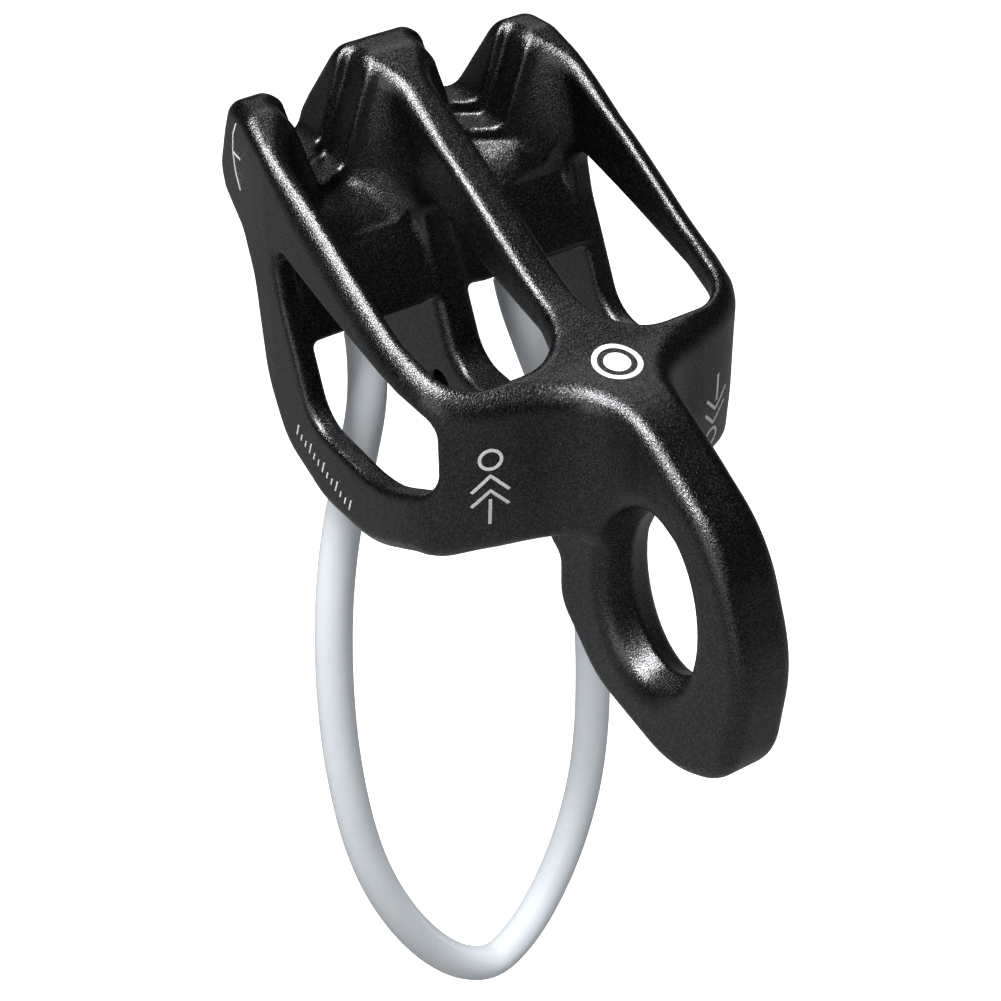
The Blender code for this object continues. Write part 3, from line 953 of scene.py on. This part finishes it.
@dataclass
class LaserMarks:
    """Plain lasered signs on the body, which hold no text and no name."""

    finish: LaserMark = field(default_factory=LaserMark)
    proud: float = 0.03

    def signs(self) -> list[Sign]:
        """Draws the signs.

        Returns:
            One sign for each rear wall, the spine, the lower band and the nose.
        """
        chevrons = [[(-1.9, -0.4), (0, 1.5), (1.9, -0.4)], [(-1.9, -2.2), (0, -0.3), (1.9, -2.2)]]
        stem = [[(0, -1.4), (0, -4.6)], circle((0, 3.4), 1.1)]
        turned = [[(u, -v) for u, v in stroke] for stroke in chevrons + stem]
        target = [circle((0, 0), 2.3), *(circle((0, 0), r) for r in (0.3, 0.7, 1.1))]
        ticks = [[(u, -0.75), (u, 0.75 if k % 3 == 0 else 0.15)]
                 for k, u in enumerate(np.linspace(-5.4, 5.4, 13))]
        bow = [(0.5, 3.8), (-0.5, 2.2), (-0.9, 0.0), (-0.5, -2.2), (0.5, -3.8)]
        bar = [(-0.9, 0.0), (1.0, 0.0)]
        return [
            Sign("sign_rear_left", (-14.2, -19.2, 18.6), (0.93, -0.37, 0), (0, 0, 1), chevrons + stem),
            Sign("sign_rear_right", (14.6, -19.0, 16.6), (0.92, 0.40, 0), (0, 0, 1), turned),
            Sign("sign_spine", (0.4, -19.4, 28.4), (1, 0, 0), (0, 0.99, 0.14), target, width=0.55),
            Sign("sign_band", (-20.0, 3.2, 10.8), (0, -0.943, -0.331), (0, -0.331, 0.943), ticks,
                 width=0.2),
            Sign("sign_nose", (-19.1, 19.6, 39.6), (0, -1, 0), (0, 0, 1), [bow, bar], width=0.22),
        ]

    def build(self, skin: BVHTree) -> list[bpy.types.Object]:
        """Builds every sign.

        Args:
            skin: the body's surface.

        Returns:
            The signs.
        """
        finish = self.finish.material()
        return [sign.build(skin, finish, self.proud) for sign in self.signs()]


@dataclass
class KeeperLoop:
    """The keeper: a steel strand swaged at both ends, in a plastic sheath."""

    sheath: SheathPlastic = field(default_factory=SheathPlastic)
    steel: DrawnSteel = field(default_factory=DrawnSteel)
    sheath_diameter: float = 4.3
    bore: float = 2.1
    wire: float = 0.5
    lay_mm: float = 9.0
    swage: float = 3.8
    swage_bore: float = 1.98
    bare: float = 4.8
    cut_edge: float = 0.35
    # Six wires lie round one
    outer_wires: int = 6
    # How finely the sheath, the strand and the swages are drawn
    sheath_points: int = 241
    outer_rings: int = 220
    inner_rings: int = 60
    sheath_sides: int = 40
    strand_points: int = 520
    wire_sides: int = 8
    swage_sides: int = 32
    end: tuple[float, float, float] = (9.4, 13.0, 24.2)
    route: Sequence[tuple[float, float, float]] = (
        (9.5, 12.1, 21.0), (9.8, 10.8, 16.5), (10.9, 9.5, 11.3), (12.8, 8.9, 5.0), (14.8, 8.8, -2.0),
        (16.4, 8.3, -9.5), (17.4, 7.7, -17.5), (17.9, 6.9, -26.5), (17.8, 5.9, -35.5), (16.9, 4.7, -45.0),
        (15.1, 3.6, -53.0), (12.2, 2.7, -60.4), (8.5, 2.1, -66.8), (4.4, 1.7, -71.4), (0.0, 1.6, -73.6))

    def centre_line(self) -> tuple[np.ndarray, np.ndarray]:
        """Runs a smooth curve through the route and its mirror image.

        Returns:
            Close points from swage to swage, and the run of length at each.
        """
        half = np.array([self.end, *self.route])
        route = np.concatenate([half, half[-2::-1] * (-1, 1, 1)])
        padded = np.concatenate([[2 * route[0] - route[1]], route, [2 * route[-1] - route[-2]]])
        fine = []
        for a, b, c, d in zip(padded, padded[1:], padded[2:], padded[3:]):
            for t in np.linspace(0, 1, 12, endpoint=False):
                fine.append(0.5 * (2 * b + (c - a) * t + (2 * a - 5 * b + 4 * c - d) * t ** 2
                                   + (3 * b - a - 3 * c + d) * t ** 3))
        fine = np.array(fine + [route[-1]])
        return fine, np.concatenate([[0], np.cumsum(np.linalg.norm(np.diff(fine, axis=0), axis=1))])

    def stretch(self, start: float, end: float, count: int) -> np.ndarray:
        """Even points along the centre line.

        Args:
            start: distance from the first swage.
            end: distance where the stretch stops.
            count: how many points.

        Returns:
            The points.
        """
        fine, run = self.centre_line()
        return np.stack([np.interp(np.linspace(start, end, count), run, fine[:, k]) for k in range(3)], 1)

    @staticmethod
    def frames(path: np.ndarray) -> tuple[np.ndarray, np.ndarray, np.ndarray]:
        """Finds the directions across a path, turning as little as they can.

        Args:
            path: the points.

        Returns:
            The tangent and the two directions across it, at each point.
        """
        tangents = np.gradient(path, axis=0)
        tangents /= np.linalg.norm(tangents, axis=1)[:, None]
        lies, lie = [], np.array((0.0, 1.0, 0.0))
        for tangent in tangents:
            lie = lie - tangent * lie.dot(tangent)
            lie = lie / np.linalg.norm(lie)
            lies.append(lie)
        lies = np.array(lies)
        return tangents, lies, np.cross(tangents, lies)

    def revolve(self, path: np.ndarray, profile: Line, sides: int) -> tuple[np.ndarray, list]:
        """Carries a closed profile of rings along a path.

        Args:
            path: the centre line.
            profile: each ring as its place along the path, from 0 to 1, and its radius.
            sides: how many points round each ring.

        Returns:
            The points and the faces.
        """
        tangents, lies, sideways = self.frames(path)
        run = np.linspace(0, 1, len(path))
        rings = []
        for at, radius in profile:
            here, lie, side = (np.array([np.interp(at, run, rows[:, k]) for k in range(3)])
                               for rows in (path, lies, sideways))
            turns = np.arange(sides) * 2 * math.pi / sides
            rings.append(here + radius * (np.cos(turns)[:, None] * lie + np.sin(turns)[:, None] * side))
        faces = []
        for r in range(len(rings)):
            a, b = r * sides, (r + 1) % len(rings) * sides
            faces += [(a + k, a + (k + 1) % sides, b + (k + 1) % sides, b + k) for k in range(sides)]
        return np.concatenate(rings), faces

    def build_sheath(self) -> bpy.types.Object:
        """Builds the sheath: a tube with softly cut ends.

        Returns:
            The sheath, a cord whose two ends lead back into the body.
        """
        _, run = self.centre_line()
        path = self.stretch(self.bare, run[-1] - self.bare, self.sheath_points)
        length = run[-1] - 2 * self.bare
        outer, inner, soft = self.sheath_diameter / 2, self.bore / 2, self.cut_edge
        lip = soft / length
        ends = [(lip * (1 - math.sin(a)), outer - soft * (1 - math.cos(a)))
                for a in np.radians((90, 68, 45, 22, 0))]
        walk = [(at, outer) for at in np.linspace(lip, 1 - lip, self.outer_rings)[1:-1]]
        far = [(1 - at, radius) for at, radius in ends[::-1]]
        back = [(at, inner) for at in np.linspace(1, 0, self.inner_rings)]
        points, faces = self.revolve(path, ends + walk + far + back, self.sheath_sides)
        tube = add_piece("keeper_sheath_tube", points, faces, self.sheath.material(), Part.KEEPER)
        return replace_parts(tube, "keeper_sheath")

    def build_strand(self) -> bpy.types.Object:
        """Builds the steel strand: wires laid round one in the middle.

        Returns:
            The strand.
        """
        _, run = self.centre_line()
        path = self.stretch(0, run[-1], self.strand_points)
        _, lies, sideways = self.frames(path)
        far = np.linspace(0, run[-1], len(path))
        points, faces, sides = [], [], self.wire_sides
        for wire in range(self.outer_wires + 1):
            turns = 2 * math.pi * (far / self.lay_mm + wire / self.outer_wires)
            out = 0.0 if wire == self.outer_wires else self.wire
            line = path + out * (np.cos(turns)[:, None] * lies + np.sin(turns)[:, None] * sideways)
            start = len(points)
            round_wire = np.arange(sides) * 2 * math.pi / sides
            for here, lie, side in zip(line, lies, sideways):
                points += [here + self.wire / 2 * (math.cos(t) * lie + math.sin(t) * side)
                           for t in round_wire]
            for r in range(len(line) - 1):
                a, b = start + r * sides, start + (r + 1) * sides
                faces += [(a + k, a + (k + 1) % sides, b + (k + 1) % sides, b + k) for k in range(sides)]
            last = start + (len(line) - 1) * sides
            faces += [tuple(range(start + sides - 1, start - 1, -1)), tuple(range(last, last + sides))]
        strand = add_piece("keeper_steel_strand", points, faces, self.steel.material(), Part.KEEPER)
        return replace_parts(strand, "keeper_core")

    def build_swage(self, name: str, node: str, mirrored: bool) -> bpy.types.Object:
        """Builds one swage: a pressed ball with a lead-in and two press lines, bored for the strand.

        Args:
            name: the piece's name.
            node: the CAD node that it stands for.
            mirrored: whether it is the left one.

        Returns:
            The swage.
        """
        radius, bore = self.swage / 2, self.swage_bore / 2
        turn = np.array((-1, 1, 1) if mirrored else (1, 1, 1))
        axis = (np.array(self.route[0]) - self.end) * turn
        axis /= np.linalg.norm(axis)
        path = np.array(self.end) * turn + np.linspace(-radius, radius, 9)[:, None] * axis
        rings = []
        for angle in np.radians(np.linspace(178, 32, 40)):
            groove = 0.05 * sum(math.exp(-((math.degrees(angle) - at) / 4) ** 2) for at in (70, 110))
            rings.append((0.5 - 0.5 * math.cos(math.pi - angle), (radius - groove) * math.sin(angle)))
        rings = [(at, size) for at, size in rings if at < 0.93]
        rings += [(0.92, bore + 0.12), (0.88, bore), (0.35, bore), (0.33, 0.02)]
        points, faces = self.revolve(path, rings, self.swage_sides)
        swage = add_piece(name, points, faces, self.steel.material(), Part.KEEPER)
        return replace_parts(swage, node)

    def build(self) -> list[bpy.types.Object]:
        """Builds the whole keeper.

        Returns:
            Its pieces.
        """
        return [self.build_sheath(), self.build_strand(),
                self.build_swage("swage_ball_right", "swage_right", mirrored=False),
                self.build_swage("swage_ball_left", "swage_left", mirrored=True)]


@dataclass
class Studio:
    """Plain pale floor, soft lamps and the camera."""

    # The photograph's viewpoint, in metres in the model's frame
    camera_at: tuple[float, float, float] = (-0.1244, -0.1503, 0.1557)
    looks_at: tuple[float, float, float] = (0.0, 0.030, -0.0068)
    focal_px: float = 2500.0
    image_px: int = 1001
    sensor_mm: float = 36.0
    floor_drop: float = 0.10
    floor_reach: float = 3.0
    floor_tone: str = "#e6e6e6"
    floor_dim: str = "#464646"
    # How bright the room is for matt faces and for glossy ones
    room_soft: float = 0.5
    room_gloss: float = 0.045
    # How bright the floor glows for the camera, and how bright the object's faces see it
    floor_glow: float = 0.55
    floor_lift: float = 0.14

    def build_camera(self) -> bpy.types.Object:
        """Makes the camera at the photograph's viewing angle.

        Returns:
            The camera.
        """
        data = bpy.data.cameras.new("camera")
        data.sensor_width = self.sensor_mm
        data.lens = self.focal_px / self.image_px * self.sensor_mm
        data.clip_start, data.clip_end = 0.01, 20.0
        camera = bpy.data.objects.new("camera", data)
        camera.location = self.camera_at
        aim = Vector(self.looks_at) - Vector(self.camera_at)
        camera.rotation_euler = aim.to_track_quat("-Z", "Y").to_euler()
        bpy.context.scene.collection.objects.link(camera)
        bpy.context.scene.camera = camera
        return camera

    def add_lamp(self, name: str, toward: tuple[float, float, float], away: float,
                 size: tuple[float, float], radiance: float) -> None:
        """Adds one softbox that faces the object.

        Args:
            name: the lamp's name.
            toward: the direction from the object to the lamp.
            away: its distance in metres.
            size: its width and height in metres.
            radiance: how bright its face is, where 1 is white.
        """
        data = bpy.data.lights.new(name, "AREA")
        data.shape, data.size, data.size_y = "RECTANGLE", *size
        data.energy = radiance * math.pi * size[0] * size[1]
        lamp = bpy.data.objects.new(name, data)
        direction = Vector(toward).normalized()
        lamp.location = Vector(self.looks_at) + direction * away
        # Its width stays level, across the object
        level = Vector((0, 1, 0)).cross(direction).normalized()
        lamp.rotation_euler = Matrix((level, direction.cross(level), direction)).transposed().to_euler()
        bpy.context.scene.collection.objects.link(lamp)

    def build_lamps(self) -> None:
        """Lights the rims with one narrow box at the upper left, and the rest with three weaker ones."""
        self.add_lamp("above", (-0.33, -0.02, 0.94), 0.9, (0.42, 0.22), 42.0)
        self.add_lamp("ahead", (0.44, 0.52, 0.72), 0.9, (0.4, 0.3), 2.0)
        self.add_lamp("behind", (-0.25, -0.52, 0.80), 0.9, (0.16, 0.16), 8.0)
        self.add_lamp("fill", (-0.85, -0.38, 0.28), 1.2, (0.8, 0.8), 1.3)

    def build_world(self) -> None:
        """Makes a background that the camera sees white and that lights the object weakly."""
        world = bpy.data.worlds.new("studio")
        world.use_nodes = True
        tree = world.node_tree
        tree.nodes.clear()
        rays = add_node(tree, "LightPath")
        seen = add_node(tree, "Math", {}, {0: (rays, "Is Camera Ray"), 1: (rays, "Is Transmission Ray")},
                        operation="MAXIMUM")
        # Glossy black faces see a dim room, and the matt milky sheath sees a soft one.
        dim = add_node(tree, "MapRange", {"To Min": self.room_soft, "To Max": self.room_gloss},
                       {"Value": (rays, "Is Glossy Ray")})
        strength = add_node(tree, "MapRange", {"To Max": 1.0}, {"Value": (seen, 0), "To Min": (dim, 0)})
        light = add_node(tree, "Background", {"Color": (1.0, 1.0, 1.0, 1.0)}, {"Strength": (strength, 0)})
        add_node(tree, "OutputWorld", {}, {"Surface": (light, 0)})
        bpy.context.scene.world = world

    def build_floor(self) -> None:
        """Makes a pale floor under the object that shows white and keeps its shadow."""
        low = cad_low.z - self.floor_drop
        mesh = bpy.data.meshes.new("floor")
        corners = [(x * self.floor_reach, y * self.floor_reach, low)
                   for x, y in ((-1, -1), (1, -1), (1, 1), (-1, 1))]
        mesh.from_pydata(corners, [], [(0, 1, 2, 3)])
        material, tree, shader, _ = new_material("pale_floor")
        shader.inputs["Roughness"].default_value = 0.9
        rays = add_node(tree, "LightPath")
        seen = add_node(tree, "Math", {}, {0: (rays, "Is Camera Ray"), 1: (rays, "Is Transmission Ray")},
                        operation="MAXIMUM")
        # The camera sees a pale floor, and the black faces see the dim one that keeps them black.
        tone = add_node(tree, "Mix", {6: linear(self.floor_dim), 7: linear(self.floor_tone)},
                        {0: (seen, 0)}, data_type="RGBA")
        tree.links.new(tone.outputs[2], shader.inputs["Base Color"])
        glow = add_node(tree, "MapRange", {"To Min": self.floor_lift, "To Max": self.floor_glow},
                        {"Value": (seen, 0)})
        tree.links.new(glow.outputs[0], shader.inputs["Emission Strength"])
        shader.inputs["Emission Color"].default_value = (1.0, 1.0, 1.0, 1.0)
        mesh.materials.append(material)
        floor = bpy.data.objects.new("floor", mesh)
        bpy.context.scene.collection.objects.link(floor)

    def build(self) -> None:
        """Builds everything round the object except the camera."""
        self.build_lamps()
        self.build_world()
        self.build_floor()
        bpy.context.scene.view_settings.view_transform = "Standard"


def main() -> None:
    """Builds the camera, the keeper, the body and the studio, in that order."""
    logging.basicConfig(level=logging.INFO, format="%(name)s: %(message)s")
    studio = Studio()
    studio.build_camera()
    KeeperLoop().build()
    body = ForgedBody()
    body.build()
    LaserMarks().build(body.skin)
    studio.build()


if __name__ == "__main__":
    main()
